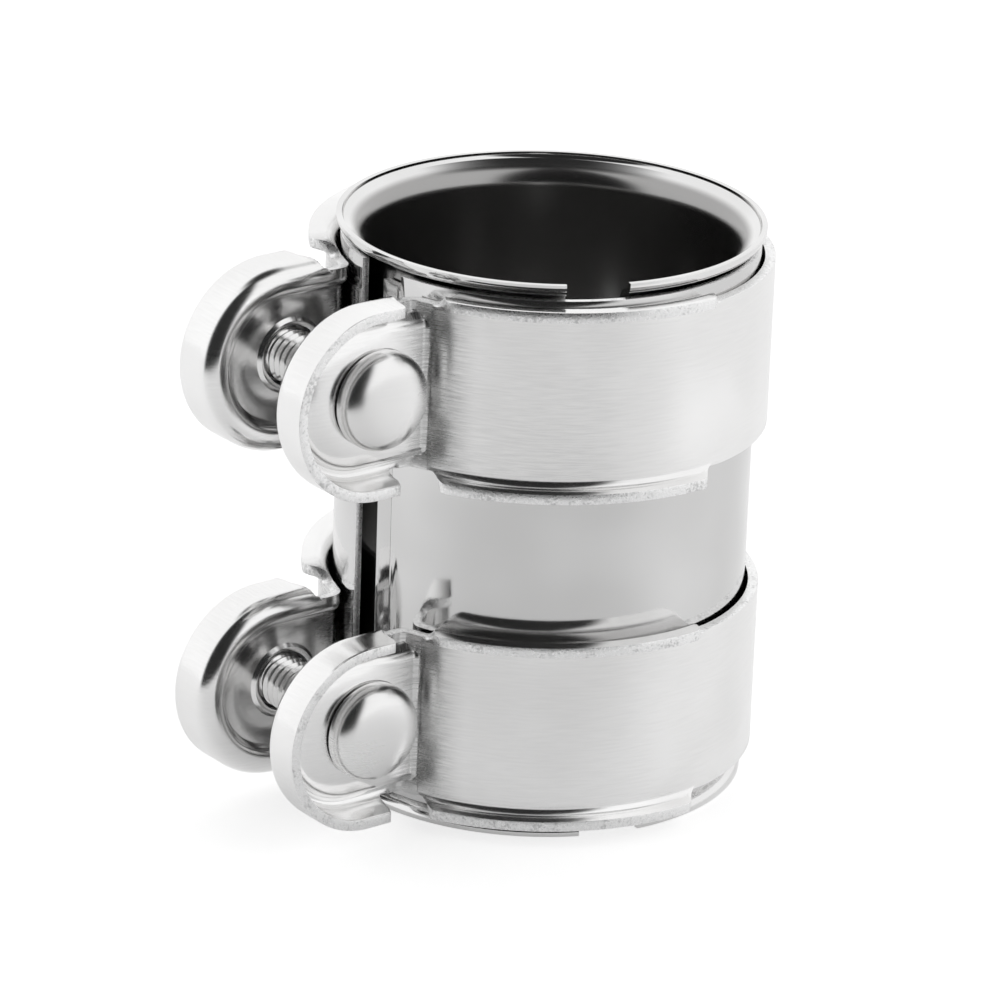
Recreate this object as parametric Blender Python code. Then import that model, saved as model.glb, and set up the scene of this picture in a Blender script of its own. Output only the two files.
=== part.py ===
"""Double clamp connector for two exhaust pipes.

A slotted sleeve holds a flared liner ring at each end. Two stamped band clamps close round it, and each has
two dished ears drawn together by a domed bolt, a washer and a nut.

Sizes are in millimetres. +Z is the pipe's axis, the ears reach towards -Y, the bolts lie along X, heads at
+X. In plan, u is the distance from the pipe's axis towards the ears, v the distance sideways from the slot's
plane, and w the height above the middle of a band.
"""

import math

import bmesh
import bpy
from mathutils import Vector
from mathutils.geometry import delaunay_2d_cdt

MM = 0.001
WELD = 0.000001

# Air kept between pieces that touch on the real clamp.
GAP = 0.3

# The whole clamp.
TOTAL_HEIGHT = 82.2
BAND_FROM_END = 16.5
COLUMN_DEG = 8.0

# Sleeve: one rolled sheet with a slot, and a lap tongue joggled inwards along the slot's near edge.
SLEEVE_OUTER_R = 29.75
SLEEVE_SHEET = 1.0
SLEEVE_END = 2.45
SLOT_FAR_DEG = -9.3
SLOT_NEAR_DEG = 8.1
TONGUE_FREE_DEG = -2.3
TONGUE_DROP = 1.3
TONGUE_BEND_R = 1.0
TONGUE_LEAN_DEG = 60.0
TONGUE_SHORT = 2.15

# Liners: flared rings inside the sleeve's ends. Each flare is an arc out, a straight, an arc back and a lip.
LINER_SHEET = 0.8
LINER_SPACING = 12.2
LINER_SLOT_DEG = 16.8
UPPER_LINER_SLOT_AT = 64.4
LOWER_LINER_SLOT_AT = 73.6
FLARE_LEAN_DEG = 65.0
FLARE_LOW_R = 2.6
FLARE_SLOPE = 1.17
FLARE_HIGH_R = 1.2
FLARE_LIP = 0.26

# Band: ring, with edge flanges turned out along part of both edges.
BAND_SHEET = 1.5
BAND_CLEARANCE = 0.5
FLANGE_AFTER_NECK_DEG = 0.7
FLANGE_TO_DEG = 99.2
FLANGE_SLANT_DEG = 6.5
FLANGE_STRIP = 0.75
FLANGE_BEND_R = 1.75
FLANGE_FLAT = 1.5

# Ear: a dished tray. The plateau carries the bolt, a valley runs round it and the skirt turns up outside.
EAR_V = 10.25
NECK_BEND_R = 1.8
PLATEAU_REACH = 8.56
PLATEAU_FLAT = 5.6
CROWN_PAST = 0.643
CROWN_LEAN_DEG = 20.0
EAR_DEPTH = 2.25
VALLEY_LEAN_DEG = 62.0
VALLEY_BEND_R = 0.95
VALLEY_FLOOR = 0.2
SHOULDER_R = 1.8
EAR_RIM_RISE = 4.05
EAR_OVERHANG = 1.45
EAR_PAST_BOLT = 1.7
SKIRT_FULL_BACK = 3.6
SKIRT_CUT_BACK = 6.0
SKIRT_BENT_BACK = 4.3
NECK_FLAT = 0.9
SEAT_LEDGE = 0.4
SEAT_WALL = 0.5
SEAT_DEPTH = 0.5
HEAD_TO_NECK = 0.45

# Bolt, washer and nut, thread size 8 mm.
SHANK_R = 3.9
HOLE_R = 4.4
NECK_HALF = 4.0
NECK_CORNER_R = 1.0
NECK_LENGTH = 2.9
HEAD_R = 7.1
HEAD_EDGE = 0.4
HEAD_DOME = 3.5
HEAD_POWER = 3.0
BOLT_END_V = 26.0
BOLT_CHAMFER = 0.8
WASHER_R = 7.5
WASHER_PLAY = 0.35
WASHER_THICKNESS = 1.6
NUT_FLAT_R = 6.5
NUT_HEIGHT = 6.5
NUT_FACE_R = 6.2
NUT_CHAMFER_DEG = 30.0

EAR_ARC_STEPS = 12
NECK_STEPS = 5
ROUND_STEPS = 24
SIDES = {"near": 1.0, "far": -1.0}


def spread(first, last, count):
    """Count even spaces from first to last."""
    return [first + (last - first) * i / count for i in range(count + 1)]


def s_bend(radius, lean_deg, fall, arc_steps, from_deg=0.0):
    """(run, fall) points of an S bend: an arc from this slope on, a straight and an arc back to level."""
    lean, start = math.radians(lean_deg), math.radians(from_deg)
    first = [
        (radius * (math.sin(a) - math.sin(start)), radius * (math.cos(start) - math.cos(a)))
        for a in spread(start, lean, arc_steps)
    ]
    last = [(radius * math.sin(a), radius * (1 - math.cos(a))) for a in spread(lean, 0, arc_steps)]
    straight = (fall - first[-1][1] - last[0][1]) / math.sin(lean)
    run = first[-1][0] + straight * math.cos(lean) + last[0][0]
    return first + [(run - x, fall - y) for x, y in last]


# Values that follow.
SLEEVE_MID_R = SLEEVE_OUTER_R - SLEEVE_SHEET / 2
LINER_OUTER_R = SLEEVE_OUTER_R - SLEEVE_SHEET - TONGUE_DROP - GAP
LINER_MID_R = LINER_OUTER_R - LINER_SHEET / 2
LINER_LENGTH = (TOTAL_HEIGHT - LINER_SPACING) / 2
BAND_MID_R = SLEEVE_OUTER_R + BAND_CLEARANCE + BAND_SHEET / 2
NECK_LEAN = math.asin((EAR_V + NECK_BEND_R) / (BAND_MID_R + NECK_BEND_R))
NECK_U = (BAND_MID_R + NECK_BEND_R) * math.cos(NECK_LEAN)
BOLT_AT_U = NECK_U + HEAD_R + HEAD_TO_NECK
EAR_CENTRE_U = BOLT_AT_U + EAR_PAST_BOLT
FLAT_ROWS = [(PLATEAU_FLAT, 0.0), ((PLATEAU_FLAT + PLATEAU_REACH) / 2, 0.0)]
VALLEY_WALL = s_bend(VALLEY_BEND_R, VALLEY_LEAN_DEG, EAR_DEPTH, 2)
FLAT_ROWS += [(PLATEAU_REACH + run, fall) for run, fall in VALLEY_WALL]
CROWN_REACH = PLATEAU_REACH - PLATEAU_FLAT + CROWN_PAST
CROWN_FALL = CROWN_REACH * math.tan(math.radians(CROWN_LEAN_DEG)) / 2
CROWN_ROWS = [(PLATEAU_FLAT + CROWN_REACH * t, CROWN_FALL * t * t) for t in (0.0, 0.5)]
CROWN_ROWS += [
    (PLATEAU_FLAT + CROWN_REACH + run, CROWN_FALL + fall)
    for run, fall in s_bend(VALLEY_BEND_R, VALLEY_LEAN_DEG, EAR_DEPTH - CROWN_FALL, 2, CROWN_LEAN_DEG)
]
SHOULDER_REACH = FLAT_ROWS[-1][0] + VALLEY_FLOOR
EAR_OUTER_R = SHOULDER_REACH + SHOULDER_R + BAND_SHEET / 2
BAND_HALF_WIDTH = EAR_OUTER_R - EAR_OVERHANG
FLANGE_BEND_AT = BAND_HALF_WIDTH - FLANGE_STRIP
SHOULDER_ARC = SHOULDER_R * math.pi / 2
SKIRT_LENGTH = SHOULDER_ARC + EAR_RIM_RISE + EAR_DEPTH - SHOULDER_R
EDGE_LENGTH = BAND_HALF_WIDTH - SHOULDER_REACH
FLANGE_ARC = FLANGE_BEND_R * math.pi / 2
FLANGE_FROM_DEG = math.degrees(NECK_LEAN) + FLANGE_AFTER_NECK_DEG
VALLEY_LEAN = math.asin((EAR_V - EAR_DEPTH + NECK_BEND_R) / (BAND_MID_R + NECK_BEND_R))
JOIN_U = (BAND_MID_R + NECK_BEND_R) * math.cos(VALLEY_LEAN) + NECK_FLAT
AXIS_Y = (EAR_CENTRE_U + EAR_OUTER_R - BAND_MID_R - BAND_SHEET / 2) / 2
EAR_FACE_V = EAR_V + BAND_SHEET / 2
HEAD_BASE_V = EAR_FACE_V + GAP
WASHER_V = EAR_FACE_V + GAP
NUT_V = WASHER_V + WASHER_THICKNESS + GAP
NUT_BORE_R = SHANK_R + GAP
SEAT_R = HOLE_R + SEAT_LEDGE
WASHER_BORE_R = SHANK_R + WASHER_PLAY
BOLT_Y = AXIS_Y - BOLT_AT_U


def steps(first, last, widest):
    """Evenly spread values from first to last, no further apart than widest."""
    count = max(1, math.ceil(abs(last - first) / widest - 0.001))
    return [first + (last - first) * i / count for i in range(count + 1)]


def add_face(bm, points):
    """One face on new vertices, which are welded later. Points are (x, y, z) from the pipe's axis."""
    bm.faces.new([bm.verts.new(Vector((x, y + AXIS_Y, z)) * MM) for x, y, z in points])


def finish(name, bm, colour, roughness, origin=(0, 0, 0)):
    """Weld, name, colour and shade one solid, with its origin at this place in millimetres."""
    bmesh.ops.remove_doubles(bm, verts=bm.verts, dist=WELD)
    bmesh.ops.recalc_face_normals(bm, faces=bm.faces)
    start = Vector(origin) * MM
    bmesh.ops.translate(bm, verts=bm.verts, vec=-start)
    mesh = bpy.data.meshes.new(name)
    bm.to_mesh(mesh)
    bm.free()
    mesh.shade_smooth()
    mesh.set_sharp_from_angle(angle=math.radians(32))
    material = bpy.data.materials.new(name)
    material.use_nodes = True
    shader = material.node_tree.nodes["Principled BSDF"]
    shader.inputs["Base Color"].default_value = (*colour, 1)
    shader.inputs["Metallic"].default_value = 1
    shader.inputs["Roughness"].default_value = roughness
    mesh.materials.append(material)
    obj = bpy.data.objects.new(name, mesh)
    obj.location = start
    bpy.context.scene.collection.objects.link(obj)
    return obj


def thicken(name, bm, thickness, colour, roughness):
    """Turn a welded middle surface into one closed sheet of this thickness."""
    bmesh.ops.remove_doubles(bm, verts=bm.verts, dist=WELD)
    bmesh.ops.recalc_face_normals(bm, faces=bm.faces)
    mesh = bpy.data.meshes.new(name + "_middle")
    bm.to_mesh(mesh)
    bm.free()
    helper = bpy.data.objects.new(name + "_middle", mesh)
    bpy.context.scene.collection.objects.link(helper)
    sheet = helper.modifiers.new("Sheet", "SOLIDIFY")
    sheet.thickness = thickness * MM
    sheet.offset = 0
    sheet.use_even_offset = True
    sheet.use_quality_normals = True
    graph = bpy.context.evaluated_depsgraph_get()
    solid = bmesh.new()
    solid.from_object(helper, graph)
    bpy.data.objects.remove(helper)
    bpy.data.meshes.remove(mesh)
    return finish(name, solid, colour, roughness)


def ring_point(radius, degrees, w):
    """A point round the pipe's axis. The angle runs from the slot's plane towards +X."""
    a = math.radians(degrees)
    return (radius * math.sin(a), -radius * math.cos(a), w)


def liner(name, rim_z, upwards, slot_at):
    """A flared ring with a slot, from pairs of outer and inner points along its section."""
    lean = math.radians(FLARE_LEAN_DEG)
    rise = (FLARE_LOW_R + FLARE_HIGH_R) * math.sin(lean) + FLARE_SLOPE * math.cos(lean) + FLARE_LIP
    middle = [(LINER_MID_R, LINER_LENGTH, 0.0), (LINER_MID_R, rise, 0.0)]
    for a in spread(0, lean, 3)[1:]:
        middle.append((LINER_MID_R + FLARE_LOW_R * (1 - math.cos(a)), rise - FLARE_LOW_R * math.sin(a), a))
    r = middle[-1][0] + FLARE_SLOPE * math.sin(lean)
    depth = middle[-1][1] - FLARE_SLOPE * math.cos(lean)
    for a in spread(lean, 0, 3):
        middle.append(
            (
                r + FLARE_HIGH_R * (math.cos(a) - math.cos(lean)),
                depth - FLARE_HIGH_R * (math.sin(lean) - math.sin(a)),
                a,
            )
        )
    middle.append((middle[-1][0], 0.0, 0.0))
    half = LINER_SHEET / 2
    sign = 1 if upwards else -1
    outer = [(r + half * math.cos(a), rim_z - sign * (d + half * math.sin(a))) for r, d, a in middle]
    inner = [(r - half * math.cos(a), rim_z - sign * (d - half * math.sin(a))) for r, d, a in middle]
    loop = outer + inner[::-1]
    angles = steps(slot_at + LINER_SLOT_DEG / 2, slot_at + 360 - LINER_SLOT_DEG / 2, COLUMN_DEG)
    bm = bmesh.new()
    for a, b in zip(angles, angles[1:]):
        for (r0, z0), (r1, z1) in zip(loop, loop[1:] + loop[:1]):
            cell = ((r0, a, z0), (r0, b, z0), (r1, b, z1), (r1, a, z1))
            add_face(bm, [ring_point(*corner) for corner in cell])
    for a in (angles[0], angles[-1]):
        for i in range(len(middle) - 1):
            cap = (outer[i], outer[i + 1], inner[i + 1], inner[i])
            add_face(bm, [ring_point(r, a, z) for r, z in cap])
    return finish(name, bm, (0.62, 0.61, 0.59), 0.28)


def sleeve():
    """The slotted sheet with its joggled lap tongue, which stops short of both ends."""
    low, high = SLEEVE_END, TOTAL_HEIGHT - SLEEVE_END
    tongue_low, tongue_high = low + TONGUE_SHORT, high - TONGUE_SHORT
    bend = s_bend(TONGUE_BEND_R, TONGUE_LEAN_DEG, TONGUE_DROP, 2)
    lap = [
        (SLEEVE_MID_R - fall, SLOT_NEAR_DEG - math.degrees(run / (SLEEVE_MID_R - TONGUE_DROP / 2)))
        for run, fall in bend
    ]
    lap += [(lap[-1][0], a) for a in steps(lap[-1][1], TONGUE_FREE_DEG, COLUMN_DEG)[1:]]
    bm = bmesh.new()
    for (r0, a0), (r1, a1) in zip(lap, lap[1:]):
        add_face(
            bm,
            [
                ring_point(r0, a0, tongue_low),
                ring_point(r1, a1, tongue_low),
                ring_point(r1, a1, tongue_high),
                ring_point(r0, a0, tongue_high),
            ],
        )
    angles = steps(SLOT_NEAR_DEG, SLOT_FAR_DEG + 360, COLUMN_DEG)
    for i, (a, b) in enumerate(zip(angles, angles[1:])):
        edge = (low, tongue_low, tongue_high, high) if i == 0 else (low, high)
        corners = [ring_point(SLEEVE_MID_R, b, high), ring_point(SLEEVE_MID_R, b, low)]
        add_face(bm, [ring_point(SLEEVE_MID_R, a, z) for z in edge] + corners)
    return thicken("sleeve", bm, SLEEVE_SHEET, (0.6, 0.59, 0.57), 0.2)


def flange_profile(length):
    """(radius, w) points from the flange's bend line outwards, for a flange of this developed length."""
    shares = [FLANGE_ARC * i / 4 for i in range(5)] + [FLANGE_ARC + FLANGE_FLAT]
    points = []
    for share in shares:
        s = length * share / shares[-1]
        a = min(s, FLANGE_ARC) / FLANGE_BEND_R
        r = BAND_MID_R + FLANGE_BEND_R * (1 - math.cos(a)) + max(0.0, s - FLANGE_ARC)
        points.append((r, FLANGE_BEND_AT + FLANGE_BEND_R * math.sin(a)))
    return points


def flange_length(degrees):
    """Developed length of the flange at this angle: short at its slanted ends."""
    into = min(degrees - FLANGE_FROM_DEG, FLANGE_TO_DEG - degrees) / FLANGE_SLANT_DEG
    ease = (1 - math.cos(math.pi * min(1.0, into))) / 2
    return FLANGE_STRIP + (FLANGE_ARC + FLANGE_FLAT - FLANGE_STRIP) * ease


def band_column(degrees):
    """(radius, w) points from the bend line to the edge of the ring, at this angle."""
    if FLANGE_FROM_DEG <= degrees <= FLANGE_TO_DEG:
        return flange_profile(flange_length(degrees))
    return [(BAND_MID_R, FLANGE_BEND_AT), (BAND_MID_R, BAND_HALF_WIDTH)]


def half_ring(bm, side, centre_z):
    """The ring from the neck's bend to the back, with its flanges, on one side of the slot's plane."""
    start = math.degrees(NECK_LEAN)
    inner_from, inner_to = FLANGE_FROM_DEG + FLANGE_SLANT_DEG, FLANGE_TO_DEG - FLANGE_SLANT_DEG
    angles = spread(FLANGE_FROM_DEG, inner_from, 3)
    angles += steps(inner_from, inner_to, COLUMN_DEG)[1:]
    angles += spread(inner_to, FLANGE_TO_DEG, 3)[1:]
    angles += steps(FLANGE_TO_DEG, 180, COLUMN_DEG)[1:]

    def at(r, degrees, w):
        x, y, z = ring_point(r, degrees, w)
        return (side * x, y, z + centre_z)

    levels = [w for w, _ in neck_levels()]
    middle = [w for w in levels if abs(w) < FLANGE_BEND_AT + WELD]
    by_neck = [at(BAND_MID_R, start, w) for w in middle]
    add_face(bm, by_neck + [at(BAND_MID_R, angles[0], w) for w in (middle[-1], middle[0])])
    for up in (1, -1):
        edge = sorted((w for w in levels if up * w > FLANGE_BEND_AT - WELD), key=abs)
        by_neck = [at(BAND_MID_R, start, w) for w in edge]
        there = band_column(angles[0])
        add_face(bm, by_neck + [at(r, angles[0], up * w) for r, w in reversed(there)])
    for a, b in zip(angles, angles[1:]):
        ends = (-FLANGE_BEND_AT, FLANGE_BEND_AT)
        add_face(bm, [at(BAND_MID_R, a, w) for w in ends] + [at(BAND_MID_R, b, w) for w in reversed(ends)])
        here, there = band_column(a), band_column(b)
        for up in (1, -1):
            if len(here) == len(there):
                for i in range(len(here) - 1):
                    cell = [(*here[i], a), (*here[i + 1], a), (*there[i + 1], b), (*there[i], b)]
                    add_face(bm, [at(r, angle, up * w) for r, w, angle in cell])
            else:
                cell = [(*p, a) for p in here] + [(*p, b) for p in reversed(there)]
                add_face(bm, [at(r, angle, up * w) for r, w, angle in cell])


def ear_columns():
    """(centre u, direction u, direction w) of the lines across the ear, from one neck edge to the other."""
    starts = spread(JOIN_U, EAR_CENTRE_U - SKIRT_FULL_BACK, 3) + [EAR_CENTRE_U - SKIRT_FULL_BACK / 2]
    arc = [(EAR_CENTRE_U, math.sin(a), math.cos(a)) for a in spread(0, math.pi, EAR_ARC_STEPS)]
    return [(u, 0.0, 1.0) for u in starts] + arc + [(u, 0.0, -1.0) for u in reversed(starts)]


def along(column, reach):
    centre, du, dw = column
    return (centre + du * reach, dw * reach)


def ease(value, first, last):
    """0 at first, 1 at last, smooth between them."""
    t = min(1.0, max(0.0, (value - first) / (last - first)))
    return t * t * (3 - 2 * t)


def ear_rows(u):
    """(reach, fall) points from the plateau to the valley's floor, with a crown away from the neck."""
    t = ease(u, JOIN_U, EAR_CENTRE_U)
    return [(r0 + (r1 - r0) * t, f0 + (f1 - f0) * t) for (r0, f0), (r1, f1) in zip(FLAT_ROWS, CROWN_ROWS)]


def ear_height(u, w, seated):
    """The middle surface's distance from the slot's plane, inside the shoulder."""
    reach = abs(w) if u < EAR_CENTRE_U else math.hypot(u - EAR_CENTRE_U, w)
    rows = ear_rows(u)
    fall = EAR_DEPTH if reach > rows[-1][0] else 0.0
    for (r0, f0), (r1, f1) in zip(rows, rows[1:]):
        if r0 <= reach <= r1:
            fall = f0 + (f1 - f0) * (reach - r0) / (r1 - r0)
    if not seated:
        return EAR_V - fall
    from_bolt = math.hypot(u - BOLT_AT_U, w)
    return EAR_V - fall - SEAT_DEPTH * min(1.0, max(0.0, (SEAT_R + SEAT_WALL - from_bolt) / SEAT_WALL))


def skirt_section(u):
    """(reach, v) points from the valley's floor to the cut edge. It gets short and flat at the neck."""
    cut = ease(u, EAR_CENTRE_U - SKIRT_CUT_BACK, EAR_CENTRE_U - SKIRT_FULL_BACK)
    bent = ease(u, JOIN_U, EAR_CENTRE_U - SKIRT_BENT_BACK)
    length = EDGE_LENGTH + (SKIRT_LENGTH - EDGE_LENGTH) * cut
    at_bend = SHOULDER_ARC / SKIRT_LENGTH
    at_flange = (FLANGE_BEND_AT - SHOULDER_REACH) / EDGE_LENGTH
    full = (0.0, at_bend / 2, at_bend, 1.0)
    flat = (0.0, at_flange, (1 + at_flange) / 2, 1.0)
    lean = bent * math.pi / 2
    points = []
    for f, n in zip(full, flat):
        run = length * (n + (f - n) * cut)
        a = min(run / SHOULDER_R, lean)
        rest = run - SHOULDER_R * a
        reach = SHOULDER_REACH + SHOULDER_R * math.sin(a) + rest * math.cos(a)
        points.append((reach, EAR_V - EAR_DEPTH + SHOULDER_R * (1 - math.cos(a)) + rest * math.sin(a)))
    return points


def neck_levels():
    """(w, v) of the lines that run from the ring over the neck's bend to the ear."""
    rows = [(reach, EAR_V - fall) for reach, fall in FLAT_ROWS] + skirt_section(JOIN_U)
    return [(-w, v) for w, v in reversed(rows)] + rows


def neck_path(v):
    """(u, v) points of one of those lines, evenly spaced from the ear to the ring."""
    lean = math.asin((v + NECK_BEND_R) / (BAND_MID_R + NECK_BEND_R))
    bend_u = (BAND_MID_R + NECK_BEND_R) * math.cos(lean)
    flat = JOIN_U - bend_u
    bend = NECK_BEND_R * (math.pi / 2 - lean)
    points = []
    for s in spread(0, flat + bend + BAND_MID_R * (NECK_LEAN - lean), NECK_STEPS):
        if s < flat:
            points.append((JOIN_U - s, v))
        elif s < flat + bend:
            a = (s - flat) / NECK_BEND_R
            points.append((bend_u - NECK_BEND_R * math.sin(a), v + NECK_BEND_R * (1 - math.cos(a))))
        else:
            a = lean + (s - flat - bend) / BAND_MID_R
            points.append((BAND_MID_R * math.cos(a), BAND_MID_R * math.sin(a)))
    return points


def square_reach(angle, half, corner_r):
    """Distance from the middle of a square with rounded corners to its outline, in this direction."""
    a = abs((angle + math.pi / 4) % (math.pi / 2) - math.pi / 4)
    flat = half - corner_r
    if math.tan(a) * half <= flat:
        return half / math.cos(a)
    along_flat = flat * (math.cos(a) + math.sin(a))
    return along_flat + math.sqrt(max(0.0, corner_r**2 - (flat * (math.cos(a) - math.sin(a))) ** 2))


def ear_hole(square):
    """Plan points of the ear's hole round the bolt."""
    points = []
    for a in spread(0, 2 * math.pi, ROUND_STEPS)[:-1]:
        reach = square_reach(a, NECK_HALF + GAP, NECK_CORNER_R) if square else HOLE_R
        points.append((BOLT_AT_U + reach * math.cos(a), reach * math.sin(a)))
    return points


def ear_plate(columns, square):
    """Plan points and triangles of the ear's dished plate, inside the shoulder."""
    points, edges = [], []

    def add_line(line, closed):
        first = len(points)
        points.extend(line)
        edges.extend((first + i, first + i + 1) for i in range(len(line) - 1))
        if closed:
            edges.append((first + len(line) - 1, first))

    hole = ear_hole(square)
    add_line(hole, True)
    turns = spread(0, 2 * math.pi, ROUND_STEPS)[:-1]
    for r in () if square else (SEAT_R, SEAT_R + SEAT_WALL):
        add_line([(BOLT_AT_U + r * math.cos(a), r * math.sin(a)) for a in turns], True)
    for i in range(len(FLAT_ROWS)):
        add_line([along(column, ear_rows(column[0])[i][0]) for column in columns], False)
    add_line([along(column, SHOULDER_REACH) for column in columns], True)
    verts, _, faces, origins, _, _ = delaunay_2d_cdt([Vector(p) for p in points], edges, [], 1, WELD)
    on_hole = [any(i < len(hole) for i in origin) for origin in origins]
    kept = [face for face in faces if not all(on_hole[i] for i in face)]
    return [(v.x, v.y) for v in verts], kept


def ear(bm, side, centre_z, square):
    """One ear with its skirt, and the bend that joins it to the ring."""

    def at(u, v, w):
        return (side * v, -u, w + centre_z)

    columns = ear_columns()
    plan, faces = ear_plate(columns, square)
    for face in faces:
        add_face(bm, [at(plan[i][0], ear_height(*plan[i], not square), plan[i][1]) for i in face])
    for c0, c1 in zip(columns, columns[1:]):
        here, there = skirt_section(c0[0]), skirt_section(c1[0])
        for i in range(len(here) - 1):
            cell = ((c0, *here[i]), (c0, *here[i + 1]), (c1, *there[i + 1]), (c1, *there[i]))
            add_face(bm, [at(along(c, r)[0], v, along(c, r)[1]) for c, r, v in cell])
    levels = [(w, neck_path(v)) for w, v in neck_levels()]
    for (w0, path0), (w1, path1) in zip(levels, levels[1:]):
        for i in range(NECK_STEPS):
            cell = ((*path0[i], w0), (*path0[i + 1], w0), (*path1[i + 1], w1), (*path1[i], w1))
            add_face(bm, [at(u, v, w) for u, v, w in cell])


def band(name, centre_z):
    """One stamped clamp: ring, flanges, neck bends and both ears from a single strip."""
    bm = bmesh.new()
    for which, side in SIDES.items():
        half_ring(bm, side, centre_z)
        ear(bm, side, centre_z, which == "near")
    return thicken(name, bm, BAND_SHEET, (0.66, 0.65, 0.63), 0.3)


def turned(x, reach_at, z):
    """A ring of points round a bolt's axis, at this x. reach_at gives the radius for an angle."""
    ring = []
    for a in spread(0, 2 * math.pi, ROUND_STEPS)[:-1]:
        r = reach_at(a)
        ring.append((x(a) if callable(x) else x, -BOLT_AT_U + r * math.cos(a), z + r * math.sin(a)))
    return ring


def bridge(bm, rings, closed):
    """Quads between neighbouring rings. Without closed, the first and last rings get a flat cap."""
    pairs = list(zip(rings, rings[1:])) + ([(rings[-1], rings[0])] if closed else [])
    for first, second in pairs:
        for i in range(ROUND_STEPS):
            j = (i + 1) % ROUND_STEPS
            add_face(bm, [first[i], first[j], second[j], second[i]])
    if not closed:
        add_face(bm, rings[0])
        add_face(bm, rings[-1])


def bolt(name, z):
    """Domed bolt with a square neck and a plain shank for the thread."""

    def circle(r):
        return lambda a: r

    def square(a):
        return square_reach(a, NECK_HALF, NECK_CORNER_R)

    neck_v = HEAD_BASE_V - NECK_LENGTH
    edge_v = HEAD_BASE_V + HEAD_EDGE
    sections = [
        (-BOLT_END_V, circle(SHANK_R - BOLT_CHAMFER)),
        (-BOLT_END_V + BOLT_CHAMFER, circle(SHANK_R)),
        (neck_v, circle(SHANK_R)),
        (neck_v, square),
        (HEAD_BASE_V, square),
        (HEAD_BASE_V, circle(HEAD_R)),
    ]
    power = 2 / HEAD_POWER
    for a in spread(0, math.pi / 2, 6)[:-1]:
        sections.append((edge_v + HEAD_DOME * math.sin(a) ** power, circle(HEAD_R * math.cos(a) ** power)))
    bm = bmesh.new()
    bridge(bm, [turned(x, reach, z) for x, reach in sections], False)
    return finish(name, bm, (0.68, 0.67, 0.65), 0.25)


def washer(name, z):
    """Plain washer on the far ear."""
    outside, inside = -WASHER_V - WASHER_THICKNESS, -WASHER_V
    corners = ((outside, WASHER_R), (inside, WASHER_R), (inside, WASHER_BORE_R), (outside, WASHER_BORE_R))
    bm = bmesh.new()
    bridge(bm, [turned(x, lambda a, r=r: r, z) for x, r in corners], True)
    return finish(name, bm, (0.55, 0.54, 0.52), 0.35, (-WASHER_V, BOLT_Y, z))


def nut(name, z):
    """Hexagon nut with chamfered corners."""

    def hexagon(a):
        return NUT_FLAT_R / math.cos((a + math.pi / 6) % (math.pi / 3) - math.pi / 6)

    def chamfer(a):
        return (hexagon(a) - NUT_FACE_R) * math.tan(math.radians(NUT_CHAMFER_DEG))

    inside, outside = -NUT_V, -NUT_V - NUT_HEIGHT
    bm = bmesh.new()
    bridge(
        bm,
        [
            turned(outside, lambda a: NUT_FACE_R, z),
            turned(lambda a: outside + chamfer(a), hexagon, z),
            turned(lambda a: inside - chamfer(a), hexagon, z),
            turned(inside, lambda a: NUT_FACE_R, z),
            turned(inside, lambda a: NUT_BORE_R, z),
            turned(outside, lambda a: NUT_BORE_R, z),
        ],
        True,
    )
    return finish(name, bm, (0.58, 0.57, 0.55), 0.3, (-NUT_V, BOLT_Y, z))


def build():
    for obj in list(bpy.data.objects):
        bpy.data.objects.remove(obj)
    liner("lower_liner", 0.0, False, LOWER_LINER_SLOT_AT)
    liner("upper_liner", TOTAL_HEIGHT, True, UPPER_LINER_SLOT_AT)
    sleeve()
    for level, z in (("upper", TOTAL_HEIGHT - BAND_FROM_END), ("lower", BAND_FROM_END)):
        band(level + "_band", z)
        bolt(level + "_bolt", z)
        washer(level + "_washer", z)
        nut(level + "_nut", z)


build()
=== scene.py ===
"""Looks for the double pipe clamp: camera, studio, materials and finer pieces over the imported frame.

Sizes are in millimetres, as in the part, and are multiplied by MM where Blender takes metres. In plan, u is
the distance from the pipe's axis towards the ears, v the distance sideways from the slot's plane, and w the
height above the middle of a band.
"""

import math

import bmesh
import bpy
from mathutils import Matrix, Vector
from mathutils.geometry import delaunay_2d_cdt


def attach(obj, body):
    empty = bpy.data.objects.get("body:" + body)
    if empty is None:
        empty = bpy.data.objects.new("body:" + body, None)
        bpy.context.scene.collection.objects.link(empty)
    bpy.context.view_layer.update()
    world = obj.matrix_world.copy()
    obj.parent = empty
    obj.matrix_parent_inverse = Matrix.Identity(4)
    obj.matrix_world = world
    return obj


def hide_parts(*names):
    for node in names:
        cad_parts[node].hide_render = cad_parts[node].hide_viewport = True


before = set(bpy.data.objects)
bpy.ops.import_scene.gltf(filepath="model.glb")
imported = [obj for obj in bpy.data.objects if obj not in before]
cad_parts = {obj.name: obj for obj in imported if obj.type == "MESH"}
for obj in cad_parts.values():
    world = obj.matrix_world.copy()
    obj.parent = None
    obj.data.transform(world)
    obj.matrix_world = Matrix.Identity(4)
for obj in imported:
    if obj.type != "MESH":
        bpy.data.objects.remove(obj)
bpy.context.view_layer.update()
scene = bpy.context.scene

# A millimetre, and the distance at which vertices are one, both in metres.
MM = 0.001
WELD = 0.000001

# Sizes of the part, as in its source. GAP is the air between pieces that press on each other.
GAP = 0.3

# The whole clamp.
TOTAL_HEIGHT = 82.2
BAND_FROM_END = 16.5

# Sleeve: one rolled sheet with a slot, and a lap tongue joggled inwards along the slot's near edge.
SLEEVE_OUTER_R = 29.75
SLEEVE_SHEET = 1.0
SLEEVE_END = 2.45
SLOT_FAR_DEG = -9.3
SLOT_NEAR_DEG = 8.1
TONGUE_FREE_DEG = -2.3
TONGUE_DROP = 1.3
TONGUE_BEND_R = 1.0
TONGUE_LEAN_DEG = 60.0
TONGUE_SHORT = 2.15

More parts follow.
